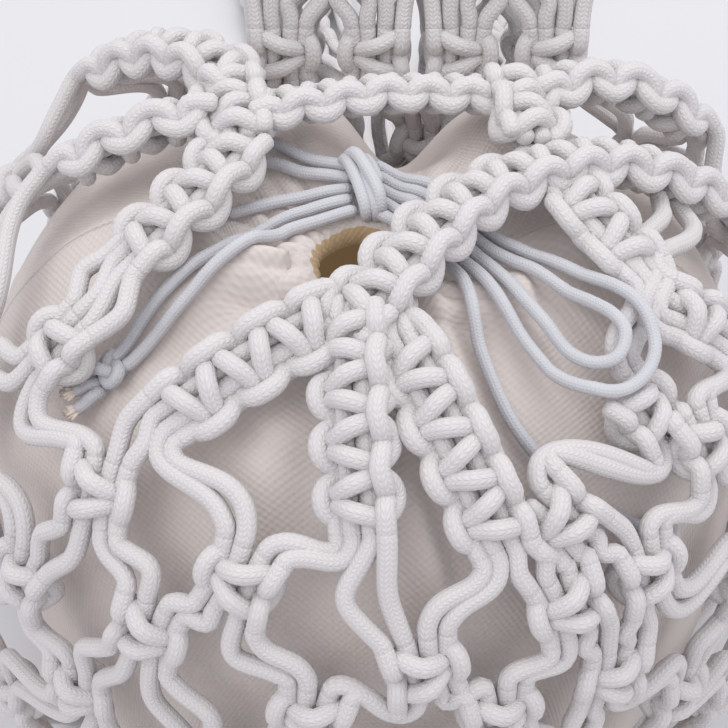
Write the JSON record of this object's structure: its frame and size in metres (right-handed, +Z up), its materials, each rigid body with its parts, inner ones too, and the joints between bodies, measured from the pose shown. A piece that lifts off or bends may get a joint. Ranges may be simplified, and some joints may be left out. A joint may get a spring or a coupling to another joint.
{
  "type": "mesh crossbody bag",
  "caption": "Rounded canvas drawstring pouch carried in a hand-knotted net of thick round cord, with knotted bands round its mouth and a wide knotted shoulder strap.",
  "frame": {"origin": "centre of the flat base on which the bag stands", "axes": "+Z up through the mouth, -Y the front seen in the picture, +Y the back where the strap is tied on, +X to the right seen from the front"},
  "size_m": [0.2519, 0.5278, 0.2157],
  "materials": {
    "cord": "matte braided cotton cord",
    "canvas": "matte plain-weave canvas",
    "lining": "matte tan cloth",
    "drawcord": "matte thin cord"
  },
  "bodies": {
    "bag": {"net_base_mat": "cord", "left_hub_knot": "cord", "front_hub_knot": "cord", "right_hub_knot": "cord", "back_rim_sennit": "cord", "right_rim_sennit": "cord", "front_left_sennit": "cord", "front_centre_sennit": "cord", "front_right_sennit": "cord", "left_front_sennit": "cord", "left_sennit": "cord", "back_left_sennit": "cord", "right_back_sennit": "cord", "right_short_sennit": "cord", "right_chain_knot": "cord", "net_gore_1": "cord", "net_gore_2": "cord", "net_gore_3": "cord", "net_gore_4": "cord", "net_gore_5": "cord", "net_gore_6": "cord", "net_gore_7": "cord", "net_gore_8": "cord", "net_gore_9": "cord", "net_gore_10": "cord", "net_gore_11": "cord", "strap_left_root": "cord", "strap_right_root": "cord", "pouch_base": "canvas", "pouch_front_panel": "canvas", "pouch_back_panel": "canvas", "pouch_hem": "canvas", "pouch_lining_front": "lining", "pouch_lining_back": "lining", "neck_strand_1": "drawcord", "neck_strand_2": "drawcord", "left_bow_strand": "drawcord", "left_tail_1": "drawcord", "left_tail_2": "drawcord", "right_bow_strand_1": "drawcord", "right_bow_strand_2": "drawcord", "right_bow_strand_3": "drawcord", "right_bow_strand_4": "drawcord", "right_tail": "drawcord", "left_cut_end_1": "drawcord", "left_cut_end_2": "drawcord", "bow_knot": "drawcord", "left_end_knot": "drawcord", "right_end_knot": "drawcord"},
    "strap_legs": {"strap_left_leg": "cord", "strap_right_leg": "cord"},
    "strap_loop": {"strap_shoulder_loop": "cord"},
    "right_loops": {"right_loop_outer": "drawcord", "right_loop_inner": "drawcord"}
  },
  "joints": [
    {"name": "strap_swing", "type": "hinge", "parent": "bag", "child": "strap_legs", "pos_m": [0, 0.086, 0.21], "axis": [1, 0, 0], "range_deg": [0, 150]},
    {"name": "strap_fold", "type": "hinge", "parent": "strap_legs", "child": "strap_loop", "pos_m": [0, 0.115, 0.0064], "axis": [1, 0, 0], "range_deg": [-80, 0]},
    {"name": "right_loops_lift", "type": "hinge", "parent": "bag", "child": "right_loops", "pos_m": [0.0319, -0.0217, 0.1794], "axis": [-0.4857, -0.8741, 0], "range_deg": [0, 45]}
  ],
  "couplings": [
    {"joint": "strap_fold", "follows": "strap_swing", "ratio": -0.5333}
  ]
}
